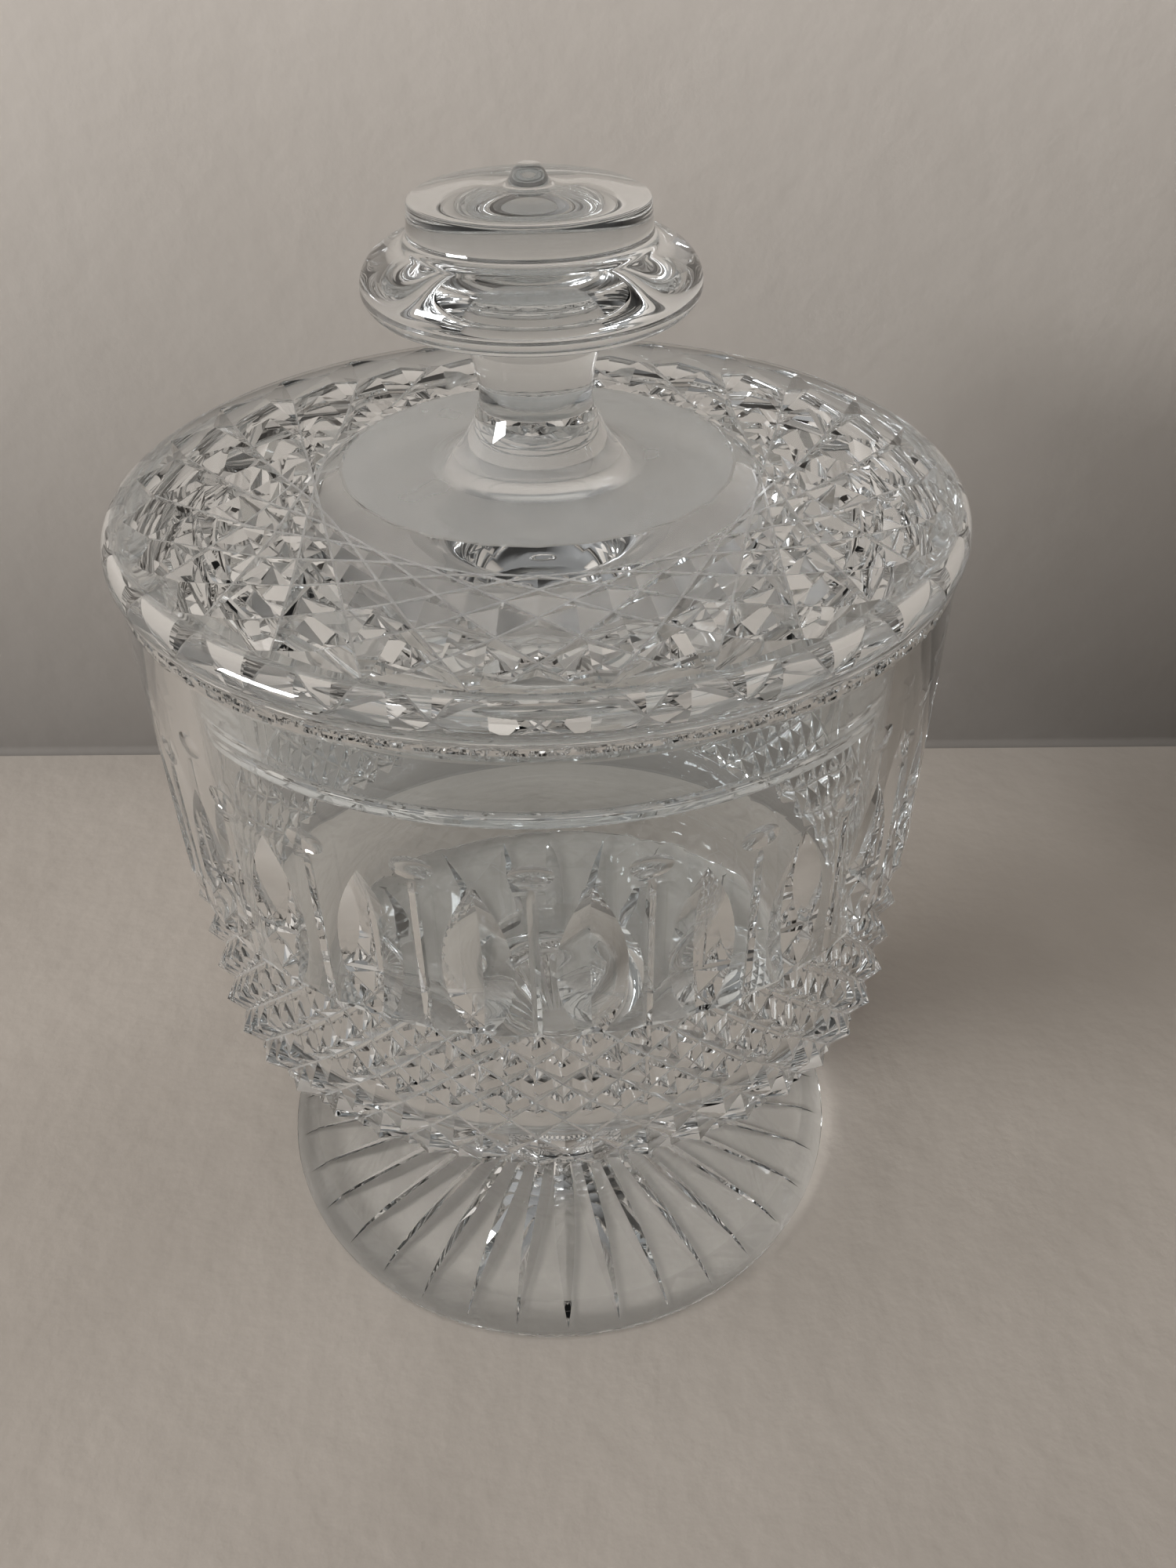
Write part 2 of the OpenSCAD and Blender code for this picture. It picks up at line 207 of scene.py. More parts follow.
def crystalGlass(name, look):
    # clear lead glass: the haze noise sets the roughness and a fine wave unsettles the polish; the
    # roughness of satin glass falls towards the axis
    material = bpy.data.materials.new(name)
    material.use_nodes = True
    nodes, links = material.node_tree.nodes, material.node_tree.links
    glass = nodes["Principled BSDF"]
    glass.inputs["Base Color"].default_value = (*look["tint"], 1)
    glass.inputs["IOR"].default_value = look["ior"]
    glass.inputs["Transmission Weight"].default_value = look["clear"]
    place = addNode(nodes, "ShaderNodeTexCoord")
    haze = addNode(nodes, "ShaderNodeTexNoise", {"Scale": look["hazeScale"], "Detail": look["hazeDetail"]})
    spread = addNode(nodes, "ShaderNodeMapRange", {
        "From Min": look["hazeFrom"], "From Max": look["hazeTo"],
        "To Min": look["smooth"], "To Max": look["hazy"]})
    wave = addNode(nodes, "ShaderNodeTexNoise", {"Scale": look["waveScale"], "Detail": look["waveDetail"]})
    bump = addNode(nodes, "ShaderNodeBump", {
        "Strength": look["waveStrength"], "Distance": look["waveHeight"]})
    links.new(place.outputs["Object"], haze.inputs["Vector"])
    links.new(haze.outputs["Fac"], spread.inputs["Value"])
    links.new(spread.outputs["Result"], glass.inputs["Roughness"])
    if "satinFrom" in look:
        flat = addNode(nodes, "ShaderNodeVectorMath", {1: (1, 1, 0)}, "MULTIPLY")
        reach = addNode(nodes, "ShaderNodeVectorMath", operation="LENGTH")
        ramp = addNode(nodes, "ShaderNodeMapRange", {
            "From Min": look["satinFrom"] * mm, "From Max": look["satinTo"] * mm,
            "To Min": look["satinLeast"]})
        rough = addNode(nodes, "ShaderNodeMath", operation="MULTIPLY")
        links.new(place.outputs["Object"], flat.inputs[0])
        links.new(flat.outputs["Vector"], reach.inputs[0])
        links.new(reach.outputs["Value"], ramp.inputs["Value"])
        links.new(ramp.outputs["Result"], rough.inputs[0])
        links.new(spread.outputs["Result"], rough.inputs[1])
        links.new(rough.outputs["Value"], glass.inputs["Roughness"])
    links.new(place.outputs["Object"], wave.inputs["Vector"])
    links.new(wave.outputs["Fac"], bump.inputs["Height"])
    links.new(bump.outputs["Normal"], glass.inputs["Normal"])
    return material


def jointGlass(name):
    # the face where two hot pieces were fused: nothing shows there
    material = bpy.data.materials.new(name)
    material.use_nodes = True
    glass = material.node_tree.nodes["Principled BSDF"]
    glass.inputs["Alpha"].default_value = 0
    glass.inputs["Transmission Weight"].default_value = 1
    return material


crystal = crystalGlass("cutCrystal", glassLook)
satin = crystalGlass("satinCrystal", satinLook)
fusedJoint = jointGlass("fusedJoint")
print("glass mixed")


footSizes = dict(radius=53.6, plate=5, bevel=4.4, edge=1.6, round=0.6, flat=18, joint=15, corner=0.3,
                 rays=36, rayWidth=3.8, rayDepth=1.2, rayIn=4.5, rayMargin=2.2, rayTurn=2.5, rayRows=40)
footShade = dict(low=0.22, high=0.5, away=21, throughRays=0.2, throughBand=0.45)
rayCols = 6  # columns from the middle of one ray to the next; the two strips between the cuts are plain glass
edgeSteps = 6  # steps of the rounding at the foot's edge


def rayFace(foot, angles):
    # underside: each ray is the cut of a V-edged wheel into the plane z = 0. With s along the ray and y
    # across, z = sqrt((R - |y| / spread)^2 - s^2) - (R - depth), and it is as wide as spread times its
    # depth
    half = (foot.radius - foot.rayMargin - foot.rayIn) / 2
    wheel = (half ** 2 + foot.rayDepth ** 2) / (2 * foot.rayDepth)
    spread = foot.rayWidth / (2 * foot.rayDepth)
    step = 2 * np.pi / foot.rays
    s = half * np.sin(np.radians(np.linspace(-90, 90, foot.rayRows + 1)))[:, None]
    width = spread * np.maximum(wheel - np.sqrt((wheel - foot.rayDepth) ** 2 + s ** 2), 0)
    y = width * np.array([0, 0.5, 1, -1, -0.5])
    z = np.sqrt((wheel - np.abs(y) / spread) ** 2 - s ** 2) - (wheel - foot.rayDepth)
    along, turn = s + foot.rayIn + half + 0 * y, np.array([0, 0, 0, 1, 1]) * step
    x, y = along * np.cos(turn) - y * np.sin(turn), along * np.sin(turn) + y * np.cos(turn)
    cell = np.stack([x, y, z], axis=-1)
    cell = np.insert(cell, 3, (cell[:, 2] + cell[:, 3]) / 2, axis=1)  # plain glass half way to the next ray
    a = (np.arange(foot.rays) * step + angles[0])[None, :, None]
    x, y, z = (cell[:, None, :, i] for i in range(3))
    return np.stack([x * np.cos(a) - y * np.sin(a), x * np.sin(a) + y * np.cos(a), z + 0 * a],
                    axis=-1).reshape(len(s), -1, 3)


def makeFoot():
    # a turned plate with a sloping band; its upper face rises to the stem with the square of the way in
    foot = SimpleNamespace(**footSizes)
    top = nodeSpan("foot")[1]
    angles = roundTable(rayCols * foot.rays, foot.rayTurn - 90)
    flatR = foot.radius - foot.bevel
    drop = foot.plate - foot.edge
    slant = math.hypot(foot.bevel, drop)
    t = np.linspace(0, 1, 13)
    sweepR = flatR - foot.flat
    shell = Shell()
    under = rayFace(foot, angles)
    centre = np.zeros_like(under[:1])
    shell.skin(shell.put(np.concatenate([centre, under, turned([[foot.radius - foot.round, 0]], angles)])))
    profile = np.concatenate([
        arcPoints(foot.radius - foot.round, foot.edge, foot.round, -90, 0, edgeSteps, foot.edge),
        [[flatR + foot.corner * foot.bevel / slant, foot.plate - foot.corner * drop / slant],
         [flatR, foot.plate - foot.corner / 5], [flatR - foot.corner, foot.plate]],
        np.stack([sweepR + (foot.joint - sweepR) * t, foot.plate + (top - foot.plate) * t ** 2], axis=-1)])
    shell.skin(shell.put(turned(steadied(profile), angles)))
    shell.skin(shell.put(turned([[foot.joint, top], [0, top]], angles)), joined)
    band = profile[edgeSteps - 1:edgeSteps + 2]  # from the edge up to the flat
    addFootShade(under, band, angles)
    piece = makePiece("crystalFoot", shell, "box", "foot")
    piece.visible_shadow = False  # the window's light goes through the plain glass on to the floor
    return piece


def partShade(name, through):
    # lets part of the light through
    material = bpy.data.materials.new(name)
    material.use_nodes = True
    nodes, links = material.node_tree.nodes, material.node_tree.links
    clear = addNode(nodes, "ShaderNodeBsdfTransparent", {"Color": (through, through, through, 1)})
    links.new(clear.outputs["BSDF"], nodes["Material Output"].inputs["Surface"])
    return material


def addFootShade(rays, band, angles):
    # the rays and the band throw the light aside, so they alone shade the floor; this sheet only casts
    # shadow. It is lower than the cuts, because light falls more steeply in glass, and highest away from
    # the window
    shell = Shell()
    shade = SimpleNamespace(**footShade)
    rays = rays * [1, 1, shade.low]
    band = turned(band, angles)
    lee = (1 + np.cos(angles - math.radians(shade.away))) / 2
    band[..., 2] *= shade.low + (shade.high - shade.low) * lee
    index = shell.put(rays)
    after = np.roll(index, -1, axis=1)
    quads = np.stack([index[:-1], after[:-1], after[1:], index[1:]], axis=-1)
    strip = np.arange(quads.shape[1]) % rayCols
    shell.fill(quads[:, (strip < 2) | (strip > 3)])  # all but the plain glass
    shell.skin(shell.put(band), 1)
    mesh = bpy.data.meshes.new("footShade")
    corners, slots = zip(*shell.faces)
    mesh.from_pydata((np.concatenate(shell.points) * mm).tolist(), [], np.concatenate(corners).tolist())
    mesh.polygons.foreach_set("material_index", np.repeat(slots, [len(part) for part in corners]))
    mesh.materials.append(partShade("rayShade", shade.throughRays))
    mesh.materials.append(partShade("bandShade", shade.throughBand))
    sheet = bpy.data.objects.new("footShade", mesh)
    sheet.visible_camera = sheet.visible_diffuse = sheet.visible_glossy = sheet.visible_transmission = False
    bpy.context.scene.collection.objects.link(sheet)


makeFoot()


stemSizes = dict(waist=10.5, waistUp=9, foot=15, bowl=17, columns=208)


def makeStem():
    # the radius grows with the square of the way from the waist to either end
    stem = SimpleNamespace(**stemSizes)
    bottom, top = nodeSpan("stem")
    z = np.linspace(bottom, top, 29)
    waistZ = bottom + stem.waistUp
    way = np.where(z < waistZ, (waistZ - z) / stem.waistUp, (z - waistZ) / (top - waistZ))
    r = stem.waist + np.where(z < waistZ, stem.foot - stem.waist, stem.bowl - stem.waist) * way ** 2
    angles = roundTable(stem.columns)
    shell = Shell()
    shell.skin(shell.put(turned([[0, bottom], [stem.foot, bottom]], angles)), joined)
    shell.skin(shell.put(turned(np.stack([r, z], axis=-1), angles)))
    shell.skin(shell.put(turned([[stem.bowl, top], [0, top]], angles)), joined)
    return makePiece("crystalStem", shell, "box", "stem")


makeStem()


bowlSizes = dict(wall=59, thick=6, base=20, corner=14, knee=27.4, band=27.4, panel=26.2, rimRound=1.2,
                 joint=17, underBend=1.25, lancets=26, lancetWidth=9.1, lancetDepth=2.6, lancetRun=1.8,
                 lineWidth=1.3, lineDepth=0.45, lineFade=2.0, pearlWidth=5.6, pearlHeight=3.6, pearlDepth=0.6,
                 pearlLift=2.1, ringWidth=1.0, ringDepth=0.5, diamonds=46, halfRows=7, diamondTurn=-1,
                 diamondDepth=2.2, grooveFloor=0.14, tipSkin=0.05)
lineCols, gapCols, lancetCols = 5, 4, 5  # columns in each half of a panel


def halfWidth(cutX, wallX, z, widest):
    # half width of a cut at height z, where its surface comes out through the wall
    low, high = np.zeros_like(z), np.full_like(z, widest)
    for turn in range(halvings):
        middle = (low + high) / 2
        inside = cutX(middle, z) < wallX(middle)
        low, high = np.where(inside, middle, low), np.where(inside, high, middle)
    return low


def panelGrid(bowl, ringZ, tipZ, rimZ):
    # wall from the ring line to the rim. A lancet is the cut of a V-edged wheel on edge, a pearl the cut of a
    # round-edged wheel lying flat and a line cut a V; the columns follow their edges, so that all are sharp
    step = 2 * np.pi / bowl.lancets
    half = (bowl.panel + bowl.lancetRun) / 2
    wheel = (half ** 2 + bowl.lancetDepth ** 2) / (2 * bowl.lancetDepth)
    spread = bowl.lancetWidth / 2 / (bowl.lancetDepth - (bowl.lancetWidth / 2) ** 2 / (2 * bowl.wall))
    pearlEdge = ((bowl.pearlHeight / 2) ** 2 + bowl.pearlDepth ** 2) / (2 * bowl.pearlDepth)
    pearlWheel = 1 / (2 * bowl.pearlDepth / (bowl.pearlWidth / 2) ** 2 - 1 / bowl.wall)
    pearlZ = tipZ + bowl.pearlLift

    def wallX(y):
        # the wall's circle: x = sqrt(R^2 - y^2)
        return np.sqrt(bowl.wall ** 2 - y ** 2)

    def lancetX(y, z):
        # a wheel on edge whose radius falls with |y| / spread
        flank = (wheel - np.abs(y) / spread) ** 2 - (z - tipZ + half) ** 2
        return bowl.wall + wheel - bowl.lancetDepth - np.sqrt(np.maximum(flank, 0))

    def pearlX(y, z):
        # a wheel lying flat, whose edge is a circle in z
        reach = pearlWheel - pearlEdge + np.sqrt(np.maximum(pearlEdge ** 2 - (z - pearlZ) ** 2, 0))
        return bowl.wall + pearlWheel - bowl.pearlDepth - np.sqrt(np.maximum(reach ** 2 - y ** 2, 0))

    ringTop = ringZ + bowl.ringWidth / 2
    pearlRows = pearlZ + bowl.pearlHeight / 2 * np.sin(np.radians(np.linspace(-90, 90, 17)))
    fadeZ, topZ = tipZ - bowl.lineFade, rimZ - bowl.rimRound
    z = np.concatenate([np.linspace(ringZ, ringTop, 3), np.linspace(ringTop, fadeZ, 31)[1:],
                        np.linspace(fadeZ, tipZ, 7)[1:], pearlRows, np.linspace(pearlRows[-1], topZ, 5)[1:-1],
                        [topZ - nearGap, topZ]])
    even = bowl.wall * step / 2 / (lineCols + gapCols + lancetCols)
    onPanel, onPearl = z <= tipZ, (z >= pearlRows[0]) & (z <= pearlRows[-1])
    lineHalf = np.where(onPanel, bowl.lineWidth / 2, lineCols * even)
    lineHalf = np.where(onPearl, halfWidth(pearlX, wallX, z, bowl.pearlWidth), lineHalf)
    lancetHalf = np.where(onPanel, halfWidth(lancetX, wallX, z, bowl.lancetWidth), lancetCols * even)

    rows = z[:, None]
    y = lineHalf[:, None] * np.linspace(0, 1, lineCols + 1)
    fade = np.clip((tipZ - rows) / bowl.lineFade, 0, 1)
    line = wallX(y) - bowl.lineDepth * fade * (1 - np.linspace(0, 1, lineCols + 1))
    x = np.where(onPearl[:, None], np.minimum(pearlX(y, rows), wallX(y)),
                 np.where(onPanel[:, None], line, wallX(y)))
    lineAngle, lineRadius = np.arctan2(y, x), np.hypot(x, y)

    y = lancetHalf[:, None] * np.linspace(1, 0, lancetCols + 1)
    x = np.where(onPanel[:, None], np.minimum(lancetX(y, rows), wallX(y)), wallX(y))
    lancetAngle, lancetRadius = step / 2 - np.arctan2(y, x), np.hypot(x, y)

    share = np.linspace(0, 1, gapCols + 1)[1:-1]
    gapAngle = lineAngle[:, -1:] + (lancetAngle[:, :1] - lineAngle[:, -1:]) * share
    angle = np.concatenate([lineAngle, gapAngle, lancetAngle], axis=1)
    radius = np.concatenate([lineRadius, 0 * gapAngle + bowl.wall, lancetRadius], axis=1)
    ringFloor = bowl.wall - bowl.ringDepth * np.clip((ringTop - rows) / (bowl.ringWidth / 2), 0, 1)
    radius = np.minimum(radius, ringFloor)

    # the other half of a panel is its mirror image
    angle = np.concatenate([angle[:, :-1], step - angle[:, :0:-1]], axis=1)
    radius = np.concatenate([radius[:, :-1], radius[:, :0:-1]], axis=1)
    turns = np.arange(bowl.lancets)[None, :, None] * step - np.pi / 2
    angle = (angle[:, None, :] + turns).reshape(len(z), -1)
    radius = np.tile(radius, (1, bowl.lancets))
    return np.stack([radius * np.cos(angle), radius * np.sin(angle), rows + 0 * angle], axis=-1), angle[-1]


def makeBowl():
    # a net of diamonds below, the panels above them, a rounded rim and a turned hollow
    bowl = SimpleNamespace(**bowlSizes)
    baseZ, rimZ = nodeSpan("bowl")
    kneeZ = baseZ + bowl.knee
    ringZ = kneeZ + bowl.band
    tipZ = ringZ + bowl.panel
    hollow, hollowZ = bowl.wall - bowl.thick, baseZ + bowl.base
    shell = Shell()

    # diamonds: points and groove crossings take turns along each half row; a crossing's corners are drawn in
    # towards the points, which leaves narrow floors along the grooves
    columns = 2 * bowl.diamonds
    column, halfRow = np.arange(columns), np.arange(bowl.halfRows + 2)[:, None]
    crossing = (column + halfRow) % 2 == 0
    r = np.where(crossing, bowl.wall - bowl.diamondDepth, bowl.wall - bowl.tipSkin)
    r[0] = np.minimum(r[0], bowl.wall - bowl.ringDepth - bowl.tipSkin)
    a = column * 2 * np.pi / columns + math.radians(bowl.diamondTurn - 90)
    z = ringZ - halfRow * bowl.band / bowl.halfRows + 0 * a
    net = np.stack([r * np.cos(a), r * np.sin(a), z], axis=-1)
    wide, high = bowl.wall * np.pi / bowl.diamonds, bowl.band / bowl.halfRows
    inset = bowl.grooveFloor * math.hypot(wide, high) / (wide * high)
    last = bowl.halfRows
    tip = net[:last + 1]
    corners = [np.roll(tip, 1, axis=1), np.roll(tip, -1, axis=1),
               np.concatenate([tip[:1], tip[:-1]]), net[1:]]
    point = shell.put(tip)
    left, right, up, down = (shell.put(near + inset * (tip - near)) for near in corners)
    row, col = np.nonzero(~crossing[:last + 1])  # the points

    def at(index, rowStep=0, colStep=0):
        # the numbers some rows and columns away from the chosen points
        return index[row + rowStep, (col + colStep) % columns]

    inner, outer = row > 0, row < last
    quarter = [(inner, up, left), (outer, left, down), (outer, down, right), (inner, right, up)]
    for where, one, other in quarter:
        shell.fill(np.stack([at(point), at(one), at(other)], axis=-1)[where])
    row, col = (v[inner] for v in (row, col))  # floors along the grooves above each point
    shell.fill(np.stack([at(left), at(up), at(right, -1, -1), at(down, -1, -1)], axis=-1), ground)
    shell.fill(np.stack([at(up), at(right), at(down, -1, 1), at(left, -1, 1)], axis=-1), ground)
    row, col = np.nonzero(crossing[1:last])
    row += 1
    shell.fill(np.stack([at(down, -1), at(right, 0, -1), at(up, 1), at(left, 0, 1)], axis=-1), ground)
    row, col = np.nonzero(crossing[:1])
    shell.fill(np.stack([at(right, 0, -1), at(up, 1), at(left, 0, 1)], axis=-1), ground)

    # underside: z rises with a power of the radius; the grooves run out through its edge
    def underZ(r):
        way = np.clip((r - bowl.joint) / (bowl.wall - bowl.joint), 0, None)
        return baseZ + bowl.knee * way ** bowl.underBend

    def meetUnder(start, end):
        # where the line from start to end goes through the underside, found by halving
        low, high = np.zeros((len(start), 1)), np.ones((len(start), 1))
        for turn in range(halvings):
            middle = (low + high) / 2
            spot = start + (end - start) * middle
            above = spot[:, 2:] > underZ(np.hypot(spot[:, :1], spot[:, 1:2]))
            low, high = np.where(above, middle, low), np.where(above, high, middle)
        return start + (end - start) * low

    bottom, lost = net[last], net[last + 1]
    even = crossing[last]
    plumb = meetUnder(bottom, lost)
    slant = meetUnder(np.where(even[:, None], bottom, np.roll(bottom, -1, axis=0)),
                      np.where(even[:, None], np.roll(lost, -1, axis=0), lost))
    zigzag = np.stack([plumb, slant], axis=1).reshape(-1, 3)
    reach = np.hypot(zigzag[:, 0], zigzag[:, 1])
    zigAngle = np.unwrap(np.arctan2(zigzag[:, 1], zigzag[:, 0]))
    r = bowl.joint + (reach - bowl.joint) * np.linspace(0, 1, 18)[:, None]
    under = shell.put(np.stack([r * np.cos(zigAngle), r * np.sin(zigAngle), underZ(r)], axis=-1))
    shell.skin(under)
    shell.skin(shell.put(turned([[0, baseZ], [bowl.joint, baseZ]], zigAngle)), joined)
    plumb, slant = under[-1][0::2], under[-1][1::2]
    row, col = np.full(bowl.diamonds, last), np.nonzero(even)[0]  # crossings on the lower edge
    plumbHere, slantHere, plumbNext = plumb[col], slant[col], plumb[(col + 1) % columns]
    slantBack, plumbBack = slant[col - 1], plumb[col - 1]
    shell.fill(np.stack([at(down, -1), at(right, 0, -1), at(point), at(left, 0, 1)], axis=-1), ground)
    shell.fill(np.stack([plumbHere, slantHere, at(point)], axis=-1))
    shell.fill(np.stack([slantHere, plumbNext, at(point, 0, 1), at(left, 0, 1), at(point)], axis=-1))
    shell.fill(np.stack([slantBack, plumbHere, at(point)], axis=-1))
    shell.fill(np.stack([plumbBack, slantBack, at(point), at(right, 0, -1), at(point, 0, -1)], axis=-1))

    # wall with lancets, lines and pearls, then the ledge over the diamonds
    grid, angles = panelGrid(bowl, ringZ, tipZ, rimZ)
    panel = shell.put(grid)
    ringRows = 2
    shell.skin(panel[:ringRows + 1], ground)
    shell.skin(panel[ringRows:])
    edge = np.stack([left[0], point[0], right[0]], axis=-1)[~crossing[0]].ravel()
    shell.zip(edge, panel[0])

    # rim and hollow
    sideZ = np.linspace(rimZ - bowl.rimRound, hollowZ + bowl.corner, 6)[1:-1]
    profile = np.concatenate([
        arcPoints(bowl.wall - bowl.rimRound, rimZ - bowl.rimRound, bowl.rimRound, 0, 90, 6),
        arcPoints(hollow + bowl.rimRound, rimZ - bowl.rimRound, bowl.rimRound, 90, 180, 6),
        np.stack([0 * sideZ + hollow, sideZ], axis=-1),
        arcPoints(hollow - bowl.corner, hollowZ + bowl.corner, bowl.corner, 0, -90, 12),
        [[(hollow - bowl.corner) / 2, hollowZ], [0, hollowZ]]])
    shell.skin(shell.put(turned(steadied(profile), angles)))
    return makePiece("crystalBowl", shell, "box", "bowl")


makeBowl()


lidSizes = dict(radius=59.95, floor=3.6, flange=14, flangeWall=5, flangeRadius=52.4, flangeRound=0.8,
                seatRound=1.5, disc=27.4, discRound=0.35, joint=15.2, chords=26, span=8, chordGap=3.5,
                chordDepth=2.6, chordSpread=1.67, chordRun=13, runOut=0.8, turn=8.4, grooveFloor=0.15,
                mostInset=0.6)
lidCols = 14  # columns of the turned faces for each groove


def makeLid():
    # a star of crossing grooves between the disc and the rim, over a turned underside with a flange
    lid = SimpleNamespace(**lidSizes)
    bottom, discZ = nodeSpan("lid")
    seatZ = bottom + lid.flange
    floorZ = seatZ + lid.floor
    landZ = floorZ + lid.chordDepth
    touch = lid.disc + lid.chordGap
    climb = discZ - floorZ - lid.chordGap / lid.chordSpread
    step = 2 * np.pi / lid.chords
    start = math.radians(lid.turn - 90)
    angles = start + np.arange(lidCols * lid.chords) * step / lidCols
    i, last = np.arange(lid.chords), lid.span - 1
    shell = Shell()

    def floorAt(r):
        # the grooves climb towards the disc with the square of the way in
        return floorZ + climb * np.clip(1 - (r - touch) / lid.chordRun, 0, None) ** 2

    def at(r, ring, z):
        # one point for each groove; those of odd rings lie half a step on
        a = start + (i + ring % 2 / 2) * step
        return np.stack([r * np.cos(a), r * np.sin(a), z + 0 * a], axis=-1)

    # straight grooves that all touch one circle. Neighbours m apart cross at r = touch / cos(m step / 2), and
    # a cell between four grooves rises to a point over its own incircle
    m = np.arange(lid.span + 1)[:, None]
    nodeR = touch / np.cos(m * step / 2)
    node = at(nodeR, m, floorAt(nodeR))
    before = np.where(m % 2 == 0, i - 1, i) % lid.chords
    after = np.where(m % 2 == 0, i, i + 1) % lid.chords
    cellM = m[:last]
    cellR = 2 * touch / (np.cos(cellM * step / 2) + np.cos((cellM + 2) * step / 2))
    within = cellR * np.cos(cellM * step / 2) - touch
    tip = at(cellR, cellM, floorAt(cellR) + within / lid.chordSpread)
    ridge = at((touch + lid.chordDepth * lid.chordSpread) / math.cos(last * step / 2), last, landZ)
    runOut = at(nodeR[-1] + lid.chordDepth * lid.runOut, lid.span, landZ)

    # narrow floors along the grooves: every corner of a cell is drawn in towards its point. Ring 0 of these
    # arrays is the disc's flank and the last ring the rim's side
    inset = np.minimum(lid.grooveFloor / within, lid.mostInset)[..., None]
    flankR = touch - lid.grooveFloor
    flank = at(flankR, 0, floorAt(touch) + lid.grooveFloor / lid.chordSpread)
    fold = at(flankR / math.cos(step / 2), 1, floorAt(nodeR[1]) + lid.grooveFloor / lid.chordSpread)
    share = lid.grooveFloor / (lid.chordDepth * lid.chordSpread)
    rimLow = node[last] + share * (ridge - node[last])
    rimEnd = node[lid.span] + share * (runOut - node[lid.span])

    def drawn(corner, first, end):
        # corner + inset * (tip - corner), between a first and a last ring
        return shell.put(np.concatenate([first[None], corner + inset * (tip - corner), end[None]]))

    low = drawn(node[:last], flank, rimLow)
    leftNode = np.take_along_axis(node[1:lid.span], before[:last, :, None], axis=1)
    rightNode = np.take_along_axis(node[1:lid.span], after[:last, :, None], axis=1)
    left = drawn(leftNode, flank, rimEnd[before[last]])
    right = drawn(rightNode, np.roll(flank, -1, axis=0), rimEnd[after[last]])
    high = drawn(node[2:], fold, rimEnd)
    tip, ridge, runOut = (shell.put(v) for v in (tip, ridge, runOut))
    for one, other in ((low, left), (left, high), (high, right), (right, low)):
        shell.fill(np.stack([tip, one[1:-1], other[1:-1]], axis=-1))

    ring, back, ahead = m[:-1], before[:-1], after[:-1]
    shell.fill(np.stack([low[1:], right[1:], high[ring, ahead], left[ring, ahead]], axis=-1), ground)
    shell.fill(np.stack([right[ring, back], high[ring, back], left[1:], low[1:]], axis=-1), ground)
    ring, back, ahead = ring[1:], back[1:], ahead[1:]
    shell.fill(np.stack([low[2:], left[ring, ahead], high[ring - 1, i], right[ring, back]], axis=-1), ground)
    for facet in ([low[-1], left[-1]], [right[-1], low[-1]], [left[-1], runOut[before[last]]],
                  [runOut[after[last]], right[-1]]):
        shell.fill(np.stack([ridge, *facet], axis=-1))

    # underside, flange and rounded rim
    edge = (landZ - seatZ) / 2
    inner, lip, seat = lid.flangeRadius - lid.flangeWall, lid.flangeRound, lid.seatRound
    profile = np.concatenate([
        [[0, seatZ], [inner / 2, seatZ]],
        arcPoints(inner - seat, seatZ - seat, seat, 90, 0, 5),
        arcPoints(inner + lip, bottom + lip, lip, 180, 270, 5),
        arcPoints(lid.flangeRadius - lip, bottom + lip, lip, -90, 0, 5),
        [[lid.flangeRadius, seatZ]],
        arcPoints(lid.radius - edge, seatZ + edge, edge, -90, 90, 24)])
    rim = shell.put(turned(steadied(profile), angles))
    shell.skin(rim)
    pair = [runOut, ridge] if last % 2 else [ridge, runOut]
    zig = np.stack(pair, axis=-1).ravel()
    half, corner = lidCols // 2, np.arange(len(zig))[:, None]
    outer = rim[-1][(half * corner + np.arange(half + 1)) % rim.shape[1]]
    shell.fill(np.concatenate([outer, np.roll(zig, -1)[:, None], zig[:, None]], axis=1))

    # disc: its edge is where the grooves' inner flanks come out, so each side has r = d / cos(angle from its
    # groove); three rows make a small rounding
    away = np.cos(np.tile(np.roll(np.arange(-half, half), -half), lid.chords) * step / lidCols)
    d = lid.disc + lid.discRound * np.array([[0.8], [0.2], [-1]])
    z = discZ - lid.discRound * np.array([[0.8 / lid.chordSpread], [0.12], [0]])
    r = d / away
    crown = np.stack([r * np.cos(angles), r * np.sin(angles), z + 0 * angles], axis=-1)
    side = shell.put(crown)
    shell.skin(side)
    over = np.arange(half, -half - 1, -1)
    arc = side[0][(lidCols * i[:, None] + over) % side.shape[1]]
    shell.fill(np.concatenate([np.roll(high[0], 1)[:, None], low[0][:, None], high[0][:, None], arc], axis=1))
    top = shell.put(np.concatenate([crown[-1:], turned([[lid.joint, discZ], [0, discZ]], angles)]))
    shell.skin(top[:2], ground)
    shell.skin(top[1:], joined)
    return makePiece("crystalLid", shell, "cover", "lid", crease=9)


makeLid()


neckSizes = dict(waist=7.7, waistUp=9, bell=4.3, bellBend=1.4, foot=3.2, footBend=14, satinBelow=0.3, top=9,
                 rows=60, crowd=1.6, columns=364)


